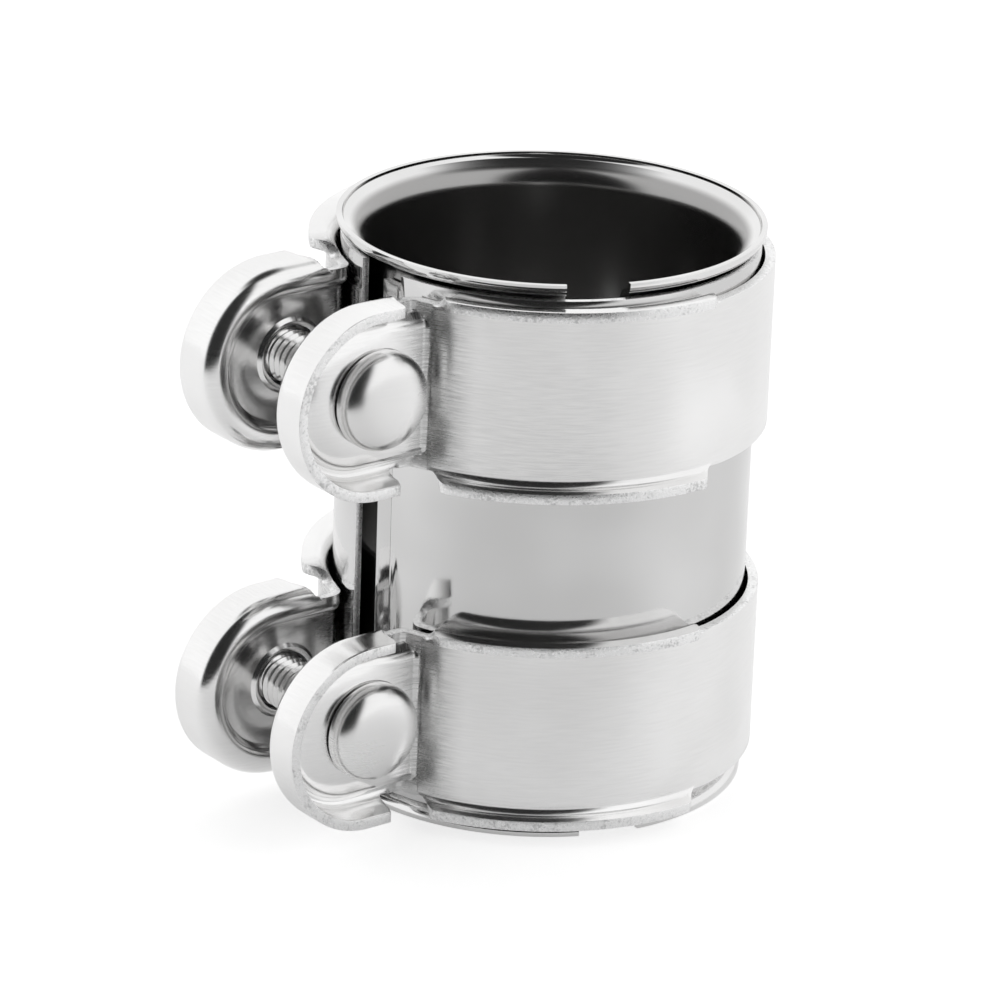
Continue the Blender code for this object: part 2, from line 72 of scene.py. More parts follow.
# Liners: flared rings inside the sleeve's ends. Each flare is an arc out, a straight, an arc back and a lip.
LINER_SHEET = 0.8
LINER_SPACING = 12.2
LINER_SLOT_DEG = 16.8
UPPER_LINER_SLOT_AT = 64.4
LOWER_LINER_SLOT_AT = 73.6
FLARE_LEAN_DEG = 65.0
FLARE_LOW_R = 2.6
FLARE_SLOPE = 1.17
FLARE_HIGH_R = 1.2
FLARE_LIP = 0.26

# Band: ring, with edge flanges turned out along part of both edges.
BAND_SHEET = 1.5
BAND_CLEARANCE = 0.5
FLANGE_AFTER_NECK_DEG = 0.7
FLANGE_TO_DEG = 99.2
FLANGE_SLANT_DEG = 6.5
FLANGE_STRIP = 0.75
FLANGE_BEND_R = 1.75
FLANGE_FLAT = 1.5

# Ear: a dished tray. The plateau carries the bolt, a valley runs round it and the skirt turns up outside.
EAR_V = 10.25
NECK_BEND_R = 1.8
PLATEAU_REACH = 8.56
PLATEAU_FLAT = 5.6
CROWN_PAST = 0.643
CROWN_LEAN_DEG = 20.0
EAR_DEPTH = 2.25
VALLEY_LEAN_DEG = 62.0
VALLEY_BEND_R = 0.95
VALLEY_FLOOR = 0.2
SHOULDER_R = 1.8
EAR_RIM_RISE = 4.05
EAR_OVERHANG = 1.45
EAR_PAST_BOLT = 1.7
SKIRT_FULL_BACK = 3.6
SKIRT_CUT_BACK = 6.0
SKIRT_BENT_BACK = 4.3
NECK_FLAT = 0.9
SEAT_LEDGE = 0.4
SEAT_WALL = 0.5
SEAT_DEPTH = 0.5
HEAD_TO_NECK = 0.45

# Bolt, washer and nut, thread size 8 mm.
SHANK_R = 3.9
HOLE_R = 4.4
NECK_HALF = 4.0
NECK_CORNER_R = 1.0
NECK_LENGTH = 2.9
HEAD_R = 7.1
HEAD_EDGE = 0.4
HEAD_DOME = 3.5
HEAD_POWER = 3.0
BOLT_END_V = 26.0
BOLT_CHAMFER = 0.8
WASHER_R = 7.5
WASHER_PLAY = 0.35
WASHER_THICKNESS = 1.6
NUT_FLAT_R = 6.5
NUT_HEIGHT = 6.5
NUT_FACE_R = 6.2
NUT_CHAMFER_DEG = 30.0

# Which way along X the near ears, with the heads, and the far ears lie.
SIDES = {"near": 1.0, "far": -1.0}

# From here on, sizes that only the scene has. One turn of the thread goes from crest to root and back: each
# point has its share of the turn and its share of the thread's depth.
THREAD_DEPTH = 0.7
THREAD_PITCH = 1.25
THREAD_SECTION = ((0.0, 0), (0.1, 0), (0.47, 1), (0.6, 1), (0.97, 0))

# Rounded lower edge of the bolt's head.
HEAD_UNDER_R = 0.25

# The washer's rounded outer edge, drawn as two chords that meet this far in, and its broken inner one.
WASHER_ROUND = 0.3
WASHER_CHORDS_IN = 0.09
WASHER_BREAK = 0.08

# Countersink at both ends of the nut's bore.
COUNTERSINK_WIDER = 0.25
COUNTERSINK_DEPTH = 0.3

# Radius of the cut sheet's broken edges, and the number of steps round it.
EDGE_BREAK = 0.07
EDGE_BREAK_STEPS = 2

# How finely the pieces are drawn, and the angle from which an edge is shaded sharp.
COLUMN_DEG = 2.0
EAR_ARC_STEPS = 48
ROUND_STEPS = 96
BEND_STEPS = 8
NECK_STEPS = 24
HEAD_UNDER_STEPS = 4
DOME_STEPS = 40
SHARP_DEG = 32


def spread(first, last, count):
    """Count even spaces from first to last."""
    return [first + (last - first) * i / count for i in range(count + 1)]


def s_bend(radius, lean_deg, fall, arc_steps, from_deg=0.0):
    """(run, fall) points of an S bend: an arc from this slope on, a straight and an arc back to level."""
    lean, start = math.radians(lean_deg), math.radians(from_deg)
    first = [
        (radius * (math.sin(a) - math.sin(start)), radius * (math.cos(start) - math.cos(a)))
        for a in spread(start, lean, arc_steps)
    ]
    last = [(radius * math.sin(a), radius * (1 - math.cos(a))) for a in spread(lean, 0, arc_steps)]
    straight = (fall - first[-1][1] - last[0][1]) / math.sin(lean)
    run = first[-1][0] + straight * math.cos(lean) + last[0][0]
    return first + [(run - x, fall - y) for x, y in last]


# Values that follow from the sizes.
SLEEVE_MID_R = SLEEVE_OUTER_R - SLEEVE_SHEET / 2
LINER_OUTER_R = SLEEVE_OUTER_R - SLEEVE_SHEET - TONGUE_DROP - GAP
LINER_MID_R = LINER_OUTER_R - LINER_SHEET / 2
LINER_LENGTH = (TOTAL_HEIGHT - LINER_SPACING) / 2
BAND_MID_R = SLEEVE_OUTER_R + BAND_CLEARANCE + BAND_SHEET / 2
NECK_LEAN = math.asin((EAR_V + NECK_BEND_R) / (BAND_MID_R + NECK_BEND_R))
NECK_U = (BAND_MID_R + NECK_BEND_R) * math.cos(NECK_LEAN)
BOLT_AT_U = NECK_U + HEAD_R + HEAD_TO_NECK
EAR_CENTRE_U = BOLT_AT_U + EAR_PAST_BOLT
FLAT_ROWS = [(reach, 0.0) for reach in spread(PLATEAU_FLAT, PLATEAU_REACH, BEND_STEPS)[:-1]]
VALLEY_WALL = s_bend(VALLEY_BEND_R, VALLEY_LEAN_DEG, EAR_DEPTH, BEND_STEPS)
FLAT_ROWS += [(PLATEAU_REACH + run, fall) for run, fall in VALLEY_WALL]
CROWN_REACH = PLATEAU_REACH - PLATEAU_FLAT + CROWN_PAST
CROWN_FALL = CROWN_REACH * math.tan(math.radians(CROWN_LEAN_DEG)) / 2
CROWN_ROWS = [(PLATEAU_FLAT + CROWN_REACH * t, CROWN_FALL * t * t) for t in spread(0, 1, BEND_STEPS)[:-1]]
CROWN_WALL = s_bend(VALLEY_BEND_R, VALLEY_LEAN_DEG, EAR_DEPTH - CROWN_FALL, BEND_STEPS, CROWN_LEAN_DEG)
CROWN_ROWS += [(PLATEAU_FLAT + CROWN_REACH + run, CROWN_FALL + fall) for run, fall in CROWN_WALL]
SHOULDER_REACH = FLAT_ROWS[-1][0] + VALLEY_FLOOR
EAR_OUTER_R = SHOULDER_REACH + SHOULDER_R + BAND_SHEET / 2
BAND_HALF_WIDTH = EAR_OUTER_R - EAR_OVERHANG
FLANGE_BEND_AT = BAND_HALF_WIDTH - FLANGE_STRIP
SHOULDER_ARC = SHOULDER_R * math.pi / 2
SKIRT_LENGTH = SHOULDER_ARC + EAR_RIM_RISE + EAR_DEPTH - SHOULDER_R
EDGE_LENGTH = BAND_HALF_WIDTH - SHOULDER_REACH
FLANGE_ARC = FLANGE_BEND_R * math.pi / 2
FLANGE_FROM_DEG = math.degrees(NECK_LEAN) + FLANGE_AFTER_NECK_DEG
VALLEY_LEAN = math.asin((EAR_V - EAR_DEPTH + NECK_BEND_R) / (BAND_MID_R + NECK_BEND_R))
JOIN_U = (BAND_MID_R + NECK_BEND_R) * math.cos(VALLEY_LEAN) + NECK_FLAT
AXIS_Y = (EAR_CENTRE_U + EAR_OUTER_R - BAND_MID_R - BAND_SHEET / 2) / 2
EAR_FACE_V = EAR_V + BAND_SHEET / 2
HEAD_BASE_V = EAR_FACE_V + GAP
WASHER_V = EAR_FACE_V + GAP
NUT_V = WASHER_V + WASHER_THICKNESS + GAP
NUT_BORE_R = SHANK_R + GAP
SEAT_R = HOLE_R + SEAT_LEDGE
WASHER_BORE_R = SHANK_R + WASHER_PLAY
BAND_AT = {"upper": TOTAL_HEIGHT - BAND_FROM_END, "lower": BAND_FROM_END}


def steps(first, last, widest):
    """Evenly spread values from first to last, no further apart than widest."""
    rounding = 0.001
    return spread(first, last, max(1, math.ceil(abs(last - first) / widest - rounding)))


def add_face(bm, points):
    """One face on new vertices, which are welded later. Points are (x, y, z) from the pipe's axis."""
    return bm.faces.new([bm.verts.new(Vector((x, y + AXIS_Y, z)) * MM) for x, y, z in points])


def finish(name, bm, node, body):
    """Weld and shade one solid, which stands for this node and rides on this body."""
    bmesh.ops.remove_doubles(bm, verts=bm.verts, dist=WELD)
    bmesh.ops.recalc_face_normals(bm, faces=bm.faces)
    mesh = bpy.data.meshes.new(name)
    bm.to_mesh(mesh)
    bm.free()
    mesh.shade_smooth()
    mesh.set_sharp_from_angle(angle=math.radians(SHARP_DEG))
    obj = bpy.data.objects.new(name, mesh)
    scene.collection.objects.link(obj)
    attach(obj, body)
    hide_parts(node)
    return obj


def thicken(name, bm, thickness, node):
    """Turn a middle surface into one closed sheet of this thickness, with its cut edges broken.

    The modifier gives the cut edges' faces the second material, so its mesh has two slots, empty ones here.
    """
    bmesh.ops.remove_doubles(bm, verts=bm.verts, dist=WELD)
    bmesh.ops.recalc_face_normals(bm, faces=bm.faces)
    mesh = bpy.data.meshes.new(name + "_middle")
    bm.to_mesh(mesh)
    bm.free()
    for _ in range(2):
        mesh.materials.append(None)
    helper = bpy.data.objects.new(name + "_middle", mesh)
    scene.collection.objects.link(helper)
    sheet = helper.modifiers.new("Sheet", "SOLIDIFY")
    sheet.thickness = thickness * MM
    sheet.offset = 0
    sheet.use_even_offset = True
    sheet.use_quality_normals = True
    sheet.material_offset_rim = 1
    graph = bpy.context.evaluated_depsgraph_get()
    solid = bmesh.new()
    solid.from_object(helper, graph)
    bpy.data.objects.remove(helper)
    bpy.data.meshes.remove(mesh)
    edges = [e for e in solid.edges if len({face.material_index for face in e.link_faces}) == 2]
    bmesh.ops.bevel(
        solid,
        geom=edges,
        offset=EDGE_BREAK * MM,
        offset_type="OFFSET",
        segments=EDGE_BREAK_STEPS,
        profile=0.5,
        affect="EDGES",
        clamp_overlap=False,
        material=-1,
    )
    return finish(name, solid, node, "connector")


def ring_point(radius, degrees, w):
    """A point round the pipe's axis. The angle runs from the slot's plane towards +X."""
    a = math.radians(degrees)
    return (radius * math.sin(a), -radius * math.cos(a), w)


def liner(name, rim_z, upwards, slot_at):
    """A flared ring with a slot, from pairs of outer and inner points along its section."""
    lean = math.radians(FLARE_LEAN_DEG)
    rise = (FLARE_LOW_R + FLARE_HIGH_R) * math.sin(lean) + FLARE_SLOPE * math.cos(lean) + FLARE_LIP
    middle = [(LINER_MID_R, LINER_LENGTH, 0.0), (LINER_MID_R, rise, 0.0)]
    for a in spread(0, lean, BEND_STEPS)[1:]:
        middle.append((LINER_MID_R + FLARE_LOW_R * (1 - math.cos(a)), rise - FLARE_LOW_R * math.sin(a), a))
    r = middle[-1][0] + FLARE_SLOPE * math.sin(lean)
    depth = middle[-1][1] - FLARE_SLOPE * math.cos(lean)
    for a in spread(lean, 0, BEND_STEPS):
        middle.append(
            (
                r + FLARE_HIGH_R * (math.cos(a) - math.cos(lean)),
                depth - FLARE_HIGH_R * (math.sin(lean) - math.sin(a)),
                a,
            )
        )
    middle.append((middle[-1][0], 0.0, 0.0))
    half = LINER_SHEET / 2
    sign = 1 if upwards else -1
    outer = [(r + half * math.cos(a), rim_z - sign * (d + half * math.sin(a))) for r, d, a in middle]
    inner = [(r - half * math.cos(a), rim_z - sign * (d - half * math.sin(a))) for r, d, a in middle]
    loop = outer + inner[::-1]
    angles = steps(slot_at + LINER_SLOT_DEG / 2, slot_at + 360 - LINER_SLOT_DEG / 2, COLUMN_DEG)
    bm = bmesh.new()
    for a, b in zip(angles, angles[1:]):
        for (r0, z0), (r1, z1) in zip(loop, loop[1:] + loop[:1]):
            cell = ((r0, a, z0), (r0, b, z0), (r1, b, z1), (r1, a, z1))
            add_face(bm, [ring_point(*corner) for corner in cell])
    for a in (angles[0], angles[-1]):
        for i in range(len(middle) - 1):
            cap = (outer[i], outer[i + 1], inner[i + 1], inner[i])
            add_face(bm, [ring_point(r, a, z) for r, z in cap])
    return finish(name + "_fine", bm, name, "connector")


def sleeve():
    """The slotted sheet with its joggled lap tongue, which stops short of both ends."""
    low, high = SLEEVE_END, TOTAL_HEIGHT - SLEEVE_END
    tongue_low, tongue_high = low + TONGUE_SHORT, high - TONGUE_SHORT
    bend = s_bend(TONGUE_BEND_R, TONGUE_LEAN_DEG, TONGUE_DROP, BEND_STEPS)
    lap = [
        (SLEEVE_MID_R - fall, SLOT_NEAR_DEG - math.degrees(run / (SLEEVE_MID_R - TONGUE_DROP / 2)))
        for run, fall in bend
    ]
    lap += [(lap[-1][0], a) for a in steps(lap[-1][1], TONGUE_FREE_DEG, COLUMN_DEG)[1:]]
    bm = bmesh.new()
    for (r0, a0), (r1, a1) in zip(lap, lap[1:]):
        add_face(
            bm,
            [
                ring_point(r0, a0, tongue_low),
                ring_point(r1, a1, tongue_low),
                ring_point(r1, a1, tongue_high),
                ring_point(r0, a0, tongue_high),
            ],
        )
    angles = steps(SLOT_NEAR_DEG, SLOT_FAR_DEG + 360, COLUMN_DEG)
    for i, (a, b) in enumerate(zip(angles, angles[1:])):
        edge = (low, tongue_low, tongue_high, high) if i == 0 else (low, high)
        corners = [ring_point(SLEEVE_MID_R, b, high), ring_point(SLEEVE_MID_R, b, low)]
        add_face(bm, [ring_point(SLEEVE_MID_R, a, z) for z in edge] + corners)
    return thicken("sleeve_fine", bm, SLEEVE_SHEET, "sleeve")


def flange_profile(length):
    """(radius, w) points from the flange's bend line outwards, for a flange of this developed length."""
    shares = [FLANGE_ARC * i / BEND_STEPS for i in range(BEND_STEPS + 1)] + [FLANGE_ARC + FLANGE_FLAT]
    points = []
    for share in shares:
        s = length * share / shares[-1]
        a = min(s, FLANGE_ARC) / FLANGE_BEND_R
        r = BAND_MID_R + FLANGE_BEND_R * (1 - math.cos(a)) + max(0.0, s - FLANGE_ARC)
        points.append((r, FLANGE_BEND_AT + FLANGE_BEND_R * math.sin(a)))
    return points


def flange_length(degrees):
    """Developed length of the flange at this angle: short at its slanted ends."""
    into = min(degrees - FLANGE_FROM_DEG, FLANGE_TO_DEG - degrees) / FLANGE_SLANT_DEG
    share = (1 - math.cos(math.pi * min(1.0, into))) / 2
    return FLANGE_STRIP + (FLANGE_ARC + FLANGE_FLAT - FLANGE_STRIP) * share


def band_column(degrees):
    """(radius, w) points from the bend line to the edge of the ring, at this angle."""
    if FLANGE_FROM_DEG <= degrees <= FLANGE_TO_DEG:
        return flange_profile(flange_length(degrees))
    return [(BAND_MID_R, FLANGE_BEND_AT), (BAND_MID_R, BAND_HALF_WIDTH)]


def half_ring(bm, side, centre_z):
    """The ring from the neck's bend to the back, with its flanges, on one side of the slot's plane."""
    start = math.degrees(NECK_LEAN)
    inner_from, inner_to = FLANGE_FROM_DEG + FLANGE_SLANT_DEG, FLANGE_TO_DEG - FLANGE_SLANT_DEG
    angles = spread(FLANGE_FROM_DEG, inner_from, BEND_STEPS)
    angles += steps(inner_from, inner_to, COLUMN_DEG)[1:]
    angles += spread(inner_to, FLANGE_TO_DEG, BEND_STEPS)[1:]
    angles += steps(FLANGE_TO_DEG, 180, COLUMN_DEG)[1:]

    def at(r, degrees, w):
        x, y, z = ring_point(r, degrees, w)
        return (side * x, y, z + centre_z)

    levels = [w for w, _ in neck_levels()]
    middle = [w for w in levels if abs(w) < FLANGE_BEND_AT + WELD]
    by_neck = [at(BAND_MID_R, start, w) for w in middle]
    add_face(bm, by_neck + [at(BAND_MID_R, angles[0], w) for w in (middle[-1], middle[0])])
    for up in (1, -1):
        edge = sorted((w for w in levels if up * w > FLANGE_BEND_AT - WELD), key=abs)
        by_neck = [at(BAND_MID_R, start, w) for w in edge]
        there = band_column(angles[0])
        add_face(bm, by_neck + [at(r, angles[0], up * w) for r, w in reversed(there)])
    for a, b in zip(angles, angles[1:]):
        ends = (-FLANGE_BEND_AT, FLANGE_BEND_AT)
        add_face(bm, [at(BAND_MID_R, a, w) for w in ends] + [at(BAND_MID_R, b, w) for w in reversed(ends)])
        here, there = band_column(a), band_column(b)
        for up in (1, -1):
            if len(here) == len(there):
                for i in range(len(here) - 1):
                    cell = [(*here[i], a), (*here[i + 1], a), (*there[i + 1], b), (*there[i], b)]
                    add_face(bm, [at(r, angle, up * w) for r, w, angle in cell])
            else:
                cell = [(*p, a) for p in here] + [(*p, b) for p in reversed(there)]
                add_face(bm, [at(r, angle, up * w) for r, w, angle in cell])


def ear_columns():
    """(centre u, direction u, direction w) of the lines across the ear, from one neck edge to the other."""
    starts = spread(JOIN_U, EAR_CENTRE_U - SKIRT_FULL_BACK, 3 * BEND_STEPS)
    starts.append(EAR_CENTRE_U - SKIRT_FULL_BACK / 2)
    arc = [(EAR_CENTRE_U, math.sin(a), math.cos(a)) for a in spread(0, math.pi, EAR_ARC_STEPS)]
    return [(u, 0.0, 1.0) for u in starts] + arc + [(u, 0.0, -1.0) for u in reversed(starts)]


def along(column, reach):
    """Plan point at this distance along one of those lines."""
    centre, du, dw = column
    return (centre + du * reach, dw * reach)


def ease(value, first, last):
    """0 at first, 1 at last, smooth between them."""
    t = min(1.0, max(0.0, (value - first) / (last - first)))
    return t * t * (3 - 2 * t)


def ear_rows(u):
    """(reach, fall) points from the plateau to the valley's floor, with a crown away from the neck."""
    t = ease(u, JOIN_U, EAR_CENTRE_U)
    return [(r0 + (r1 - r0) * t, f0 + (f1 - f0) * t) for (r0, f0), (r1, f1) in zip(FLAT_ROWS, CROWN_ROWS)]


def ear_height(u, w, seated):
    """The middle surface's distance from the slot's plane, inside the shoulder."""
    reach = abs(w) if u < EAR_CENTRE_U else math.hypot(u - EAR_CENTRE_U, w)
    rows = ear_rows(u)
    fall = EAR_DEPTH if reach > rows[-1][0] else 0.0
    for (r0, f0), (r1, f1) in zip(rows, rows[1:]):
        if r0 <= reach <= r1:
            fall = f0 + (f1 - f0) * (reach - r0) / (r1 - r0)
    if not seated:
        return EAR_V - fall
    from_bolt = math.hypot(u - BOLT_AT_U, w)
    return EAR_V - fall - SEAT_DEPTH * min(1.0, max(0.0, (SEAT_R + SEAT_WALL - from_bolt) / SEAT_WALL))


def skirt_section(u):
    """(reach, v) points from the valley's floor to the cut edge. It gets short and flat at the neck."""
    cut = ease(u, EAR_CENTRE_U - SKIRT_CUT_BACK, EAR_CENTRE_U - SKIRT_FULL_BACK)
    bent = ease(u, JOIN_U, EAR_CENTRE_U - SKIRT_BENT_BACK)
    length = EDGE_LENGTH + (SKIRT_LENGTH - EDGE_LENGTH) * cut
    at_bend = SHOULDER_ARC / SKIRT_LENGTH
    at_flange = (FLANGE_BEND_AT - SHOULDER_REACH) / EDGE_LENGTH
    full = spread(0.0, at_bend, 2 * BEND_STEPS) + spread(at_bend, 1.0, BEND_STEPS)[1:]
    flat = spread(0.0, at_flange, 2 * BEND_STEPS) + spread(at_flange, 1.0, BEND_STEPS)[1:]
    lean = bent * math.pi / 2
    points = []
    for f, n in zip(full, flat):
        run = length * (n + (f - n) * cut)
        a = min(run / SHOULDER_R, lean)
        rest = run - SHOULDER_R * a
        reach = SHOULDER_REACH + SHOULDER_R * math.sin(a) + rest * math.cos(a)
        points.append((reach, EAR_V - EAR_DEPTH + SHOULDER_R * (1 - math.cos(a)) + rest * math.sin(a)))
    return points


def neck_levels():
    """(w, v) of the lines that run from the ring over the neck's bend to the ear."""
    rows = [(reach, EAR_V - fall) for reach, fall in FLAT_ROWS] + skirt_section(JOIN_U)
    return [(-w, v) for w, v in reversed(rows)] + rows


def neck_path(v):
    """(u, v) points of one of those lines, evenly spaced from the ear to the ring."""
    lean = math.asin((v + NECK_BEND_R) / (BAND_MID_R + NECK_BEND_R))
    bend_u = (BAND_MID_R + NECK_BEND_R) * math.cos(lean)
    flat = JOIN_U - bend_u
    bend = NECK_BEND_R * (math.pi / 2 - lean)
    points = []
    for s in spread(0, flat + bend + BAND_MID_R * (NECK_LEAN - lean), NECK_STEPS):
        if s < flat:
            points.append((JOIN_U - s, v))
        elif s < flat + bend:
            a = (s - flat) / NECK_BEND_R
            points.append((bend_u - NECK_BEND_R * math.sin(a), v + NECK_BEND_R * (1 - math.cos(a))))
        else:
            a = lean + (s - flat - bend) / BAND_MID_R
            points.append((BAND_MID_R * math.cos(a), BAND_MID_R * math.sin(a)))
    return points


def square_reach(angle, half, corner_r):
    """Distance from the middle of a square with rounded corners to its outline, in this direction."""
    a = abs((angle + math.pi / 4) % (math.pi / 2) - math.pi / 4)
    flat = half - corner_r
    if math.tan(a) * half <= flat:
        return half / math.cos(a)
    along_flat = flat * (math.cos(a) + math.sin(a))
    return along_flat + math.sqrt(max(0.0, corner_r**2 - (flat * (math.cos(a) - math.sin(a))) ** 2))


def ear_hole(square):
    """Plan points of the ear's hole round the bolt."""
    points = []
    for a in spread(0, 2 * math.pi, ROUND_STEPS)[:-1]:
        reach = square_reach(a, NECK_HALF + GAP, NECK_CORNER_R) if square else HOLE_R
        points.append((BOLT_AT_U + reach * math.cos(a), reach * math.sin(a)))
    return points


def ear_plate(columns, square):
    """Plan points and triangles of the ear's dished plate, inside the shoulder."""
    points, edges = [], []

    def add_line(line, closed):
        first = len(points)
        points.extend(line)
        edges.extend((first + i, first + i + 1) for i in range(len(line) - 1))
        if closed:
            edges.append((first + len(line) - 1, first))

    hole = ear_hole(square)
    add_line(hole, True)
    turns = spread(0, 2 * math.pi, ROUND_STEPS)[:-1]
    for r in () if square else (SEAT_R, SEAT_R + SEAT_WALL):
        add_line([(BOLT_AT_U + r * math.cos(a), r * math.sin(a)) for a in turns], True)
    for i in range(len(FLAT_ROWS)):
        add_line([along(column, ear_rows(column[0])[i][0]) for column in columns], False)
    add_line([along(column, SHOULDER_REACH) for column in columns], True)
    verts, _, faces, origins, _, _ = delaunay_2d_cdt([Vector(p) for p in points], edges, [], 1, WELD)
    on_hole = [any(i < len(hole) for i in origin) for origin in origins]
    kept = [face for face in faces if not all(on_hole[i] for i in face)]
    return [(v.x, v.y) for v in verts], kept


def ear(bm, side, centre_z, square):
    """One ear with its skirt, and the bend that joins it to the ring."""

    def at(u, v, w):
        return (side * v, -u, w + centre_z)

    columns = ear_columns()
    plan, faces = ear_plate(columns, square)
    for face in faces:
        add_face(bm, [at(plan[i][0], ear_height(*plan[i], not square), plan[i][1]) for i in face])
    for c0, c1 in zip(columns, columns[1:]):
        here, there = skirt_section(c0[0]), skirt_section(c1[0])
        for i in range(len(here) - 1):
            cell = ((c0, *here[i]), (c0, *here[i + 1]), (c1, *there[i + 1]), (c1, *there[i]))
            add_face(bm, [at(along(c, r)[0], v, along(c, r)[1]) for c, r, v in cell])
    levels = [(w, neck_path(v)) for w, v in neck_levels()]
    for (w0, path0), (w1, path1) in zip(levels, levels[1:]):
        for i in range(NECK_STEPS):
            cell = ((*path0[i], w0), (*path0[i + 1], w0), (*path1[i + 1], w1), (*path1[i], w1))
            add_face(bm, [at(u, v, w) for u, v, w in cell])


def band(name, centre_z):
    """One stamped clamp: ring, flanges, neck bends and both ears from a single strip."""
    bm = bmesh.new()
    for which, side in SIDES.items():
        half_ring(bm, side, centre_z)
        ear(bm, side, centre_z, which == "near")
    return thicken(name + "_fine", bm, BAND_SHEET, name)


def turned(x, reach_at, z):
    """A ring of points round a bolt's axis. reach_at gives each angle's radius. x may be a function too."""
    ring = []
    for a in spread(0, 2 * math.pi, ROUND_STEPS)[:-1]:
        r = reach_at(a)
        ring.append((x(a) if callable(x) else x, -BOLT_AT_U + r * math.cos(a), z + r * math.sin(a)))
    return ring


def circle(radius):
    """What turned needs for a round section."""
    return lambda a: radius


def join_rings(bm, rings):
    """Quads between neighbouring rings."""
    for first, second in zip(rings, rings[1:]):
        for i in range(ROUND_STEPS):
            j = (i + 1) % ROUND_STEPS
            add_face(bm, [first[i], first[j], second[j], second[i]])


def threaded(bm, tip, end, z):
    """The cut thread along its helix, from the bolt's tip to its square neck and cut off at both."""
    root = SHANK_R - THREAD_DEPTH
    spare_turns = 3
    turns = int((end - tip) / THREAD_PITCH) + spare_turns

    def at(k, turn, r):
        a = 2 * math.pi * k / ROUND_STEPS
        x = tip + THREAD_PITCH * (turn - k / ROUND_STEPS)
        x = min(end, max(tip, x))
        r = min(r, SHANK_R - BOLT_CHAMFER + (x - tip), root + (end - x))
        return (x, -BOLT_AT_U + r * math.cos(a), z + r * math.sin(a))

    line = [(i + t, SHANK_R - THREAD_DEPTH * depth) for i in range(turns) for t, depth in THREAD_SECTION]
    for k in range(ROUND_STEPS):
        for (t0, r0), (t1, r1) in zip(line, line[1:]):
            face = add_face(bm, [at(k, t0, r0), at(k + 1, t0, r0), at(k + 1, t1, r1), at(k, t1, r1)])
            face.material_index = 1


def bolt(name, z):
    """Domed bolt with a square neck and a cut thread."""

    def square(a):
        return square_reach(a, NECK_HALF, NECK_CORNER_R)

    neck_v = HEAD_BASE_V - NECK_LENGTH
    edge_v = HEAD_BASE_V + HEAD_EDGE
    sections = [(neck_v, circle(SHANK_R - THREAD_DEPTH)), (neck_v, square), (HEAD_BASE_V, square)]
    for a in spread(-math.pi / 2, 0, HEAD_UNDER_STEPS):
        rise, inset = HEAD_UNDER_R * (1 + math.sin(a)), HEAD_UNDER_R * (1 - math.cos(a))
        sections.append((HEAD_BASE_V + rise, circle(HEAD_R - inset)))
    power = 2 / HEAD_POWER
    for a in spread(0, math.pi / 2, DOME_STEPS)[1:-1]:
        sections.append((edge_v + HEAD_DOME * math.sin(a) ** power, circle(HEAD_R * math.cos(a) ** power)))
    bm = bmesh.new()
    rings = [turned(x, reach, z) for x, reach in sections]
    join_rings(bm, rings)
    add_face(bm, rings[-1])
    threaded(bm, -BOLT_END_V, neck_v, z)
    add_face(bm, turned(-BOLT_END_V, circle(SHANK_R - BOLT_CHAMFER), z))
    return finish(name + "_fine", bm, name, "connector")


def washer(name, z, body):
    """Plain washer on the far ear, its outer edges rounded as stamping leaves them."""
    outside, inside = -WASHER_V - WASHER_THICKNESS, -WASHER_V
    corners = [
        (inside, WASHER_BORE_R),
        (outside, WASHER_BORE_R),
        (outside, WASHER_R - WASHER_ROUND),
        (outside + WASHER_CHORDS_IN, WASHER_R - WASHER_CHORDS_IN),
        (outside + WASHER_ROUND, WASHER_R),
        (inside - WASHER_BREAK, WASHER_R),
        (inside, WASHER_R - WASHER_BREAK),
    ]
    rings = [turned(x, circle(r), z) for x, r in corners]
    bm = bmesh.new()
    join_rings(bm, rings + rings[:1])
    return finish(name + "_fine", bm, name, body)


def nut(name, z, body):
    """Hexagon nut with chamfered corners and a countersunk bore."""

    def hexagon(a):
        return NUT_FLAT_R / math.cos((a + math.pi / 6) % (math.pi / 3) - math.pi / 6)

    def chamfer(a):
        return (hexagon(a) - NUT_FACE_R) * math.tan(math.radians(NUT_CHAMFER_DEG))

    inside, outside = -NUT_V, -NUT_V - NUT_HEIGHT
    rings = [
        turned(outside, circle(NUT_FACE_R), z),
        turned(lambda a: outside + chamfer(a), hexagon, z),
        turned(lambda a: inside - chamfer(a), hexagon, z),
        turned(inside, circle(NUT_FACE_R), z),
        turned(inside, circle(NUT_BORE_R + COUNTERSINK_WIDER), z),
        turned(inside - COUNTERSINK_DEPTH, circle(NUT_BORE_R), z),
        turned(outside + COUNTERSINK_DEPTH, circle(NUT_BORE_R), z),
        turned(outside, circle(NUT_BORE_R + COUNTERSINK_WIDER), z),
    ]
    bm = bmesh.new()
    join_rings(bm, rings + rings[:1])
    return finish(name + "_fine", bm, name, body)


# Camera, fitted to the photograph's rims and edges. It looks at a point on the pipe's axis, this far below
# the upper rim. The sensor's width is in millimetres and the clipping distances are in metres.
AZIMUTH = math.radians(52.0)
ELEVATION = math.radians(21.2)
ROLL = math.radians(2.06)
DISTANCE = 790.0
TARGET_BELOW_RIM = 42
SIDE_SHIFT = 6.644
UP_SHIFT = 0.23
LENS = 200.06
SENSOR_WIDTH = 36
CLIP = (0.01, 20)

# The room is dark on the camera's side: a turn from the camera's azimuth, and half a width. It fades over
# this angle on both sides of its edge.
DARK = (-10.0, 44.0)
DARK_FADE_DEG = 7
ROOM_WHITE = (1, 1, 1, 1)
ROOM_BLACK = (0.022, 0.022, 0.022, 1)

# The ceiling's dark middle leans away from the camera. This is its centre, by turn and elevation, and the
# cosines of the angles from there at which it begins and is full.
CEILING_AT = (165.0, 78.0)
CEILING_COSINES = (0.87, 0.985)

